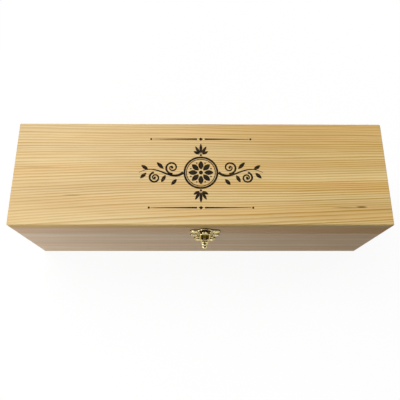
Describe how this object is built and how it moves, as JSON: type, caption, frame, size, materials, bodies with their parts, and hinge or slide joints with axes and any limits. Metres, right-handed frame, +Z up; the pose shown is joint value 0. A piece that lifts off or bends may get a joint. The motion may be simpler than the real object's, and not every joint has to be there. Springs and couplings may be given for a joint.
{
  "type": "wooden gift box",
  "caption": "Long pine gift box with a lid hinged at the back, rabbeted corners and an ornate brass toggle catch with a wire loop; holds a bottle, papers or keepsakes.",
  "frame": {"origin": "centre of the flat underside that the box rests on", "axes": "+X along the length to the right as seen from the front, -Y out of the front face with the catch, +Z up"},
  "size_m": [0.35, 0.116, 0.11],
  "materials": {
    "pine": "planed and sanded, bare, satin",
    "hinge_brass": "plated, lightly brushed",
    "latch_brass": "antiqued, dark in the recesses, bright on the high edges"
  },
  "bodies": {
    "base": {"bottom_panel": "pine", "base_front_board": "pine", "base_back_board": "pine", "base_left_end": "pine", "base_right_end": "pine", "hinge_base_leaf_left": "hinge_brass", "hinge_base_leaf_right": "hinge_brass", "hinge_pin_left": "hinge_brass", "hinge_pin_right": "hinge_brass", "hinge_base_screws": "hinge_brass", "latch_base_plate": "latch_brass", "latch_base_nails": "latch_brass", "latch_pivot_pin": "latch_brass"},
    "lid": {"lid_top_panel": "pine", "lid_front_rail": "pine", "lid_back_rail": "pine", "lid_left_end": "pine", "lid_right_end": "pine", "hinge_lid_leaf_left": "hinge_brass", "hinge_lid_leaf_right": "hinge_brass", "hinge_lid_screws": "hinge_brass", "latch_catch_plate": "latch_brass", "latch_catch_nails": "latch_brass"},
    "latch_lever": {"latch_lever": "latch_brass"},
    "latch_loop": {"latch_loop": "latch_brass"}
  },
  "joints": [
    {"name": "lid_hinge", "type": "hinge", "parent": "base", "child": "lid", "pos_m": [0, 0.0532, 0.081], "axis": [-1, 0, 0], "range_deg": [0, 180]},
    {"name": "lever_pivot", "type": "hinge", "parent": "base", "child": "latch_lever", "pos_m": [0.004, -0.0546, 0.074], "axis": [-1, 0, 0], "range_deg": [0, 120]},
    {"name": "loop_pivot", "type": "hinge", "parent": "latch_lever", "child": "latch_loop", "pos_m": [0.004, -0.0541, 0.07043], "axis": [-1, 0, 0], "range_deg": [-120, 0]}
  ],
  "couplings": [
    {"joint": "loop_pivot", "follows": "lever_pivot", "ratio": -1}
  ]
}
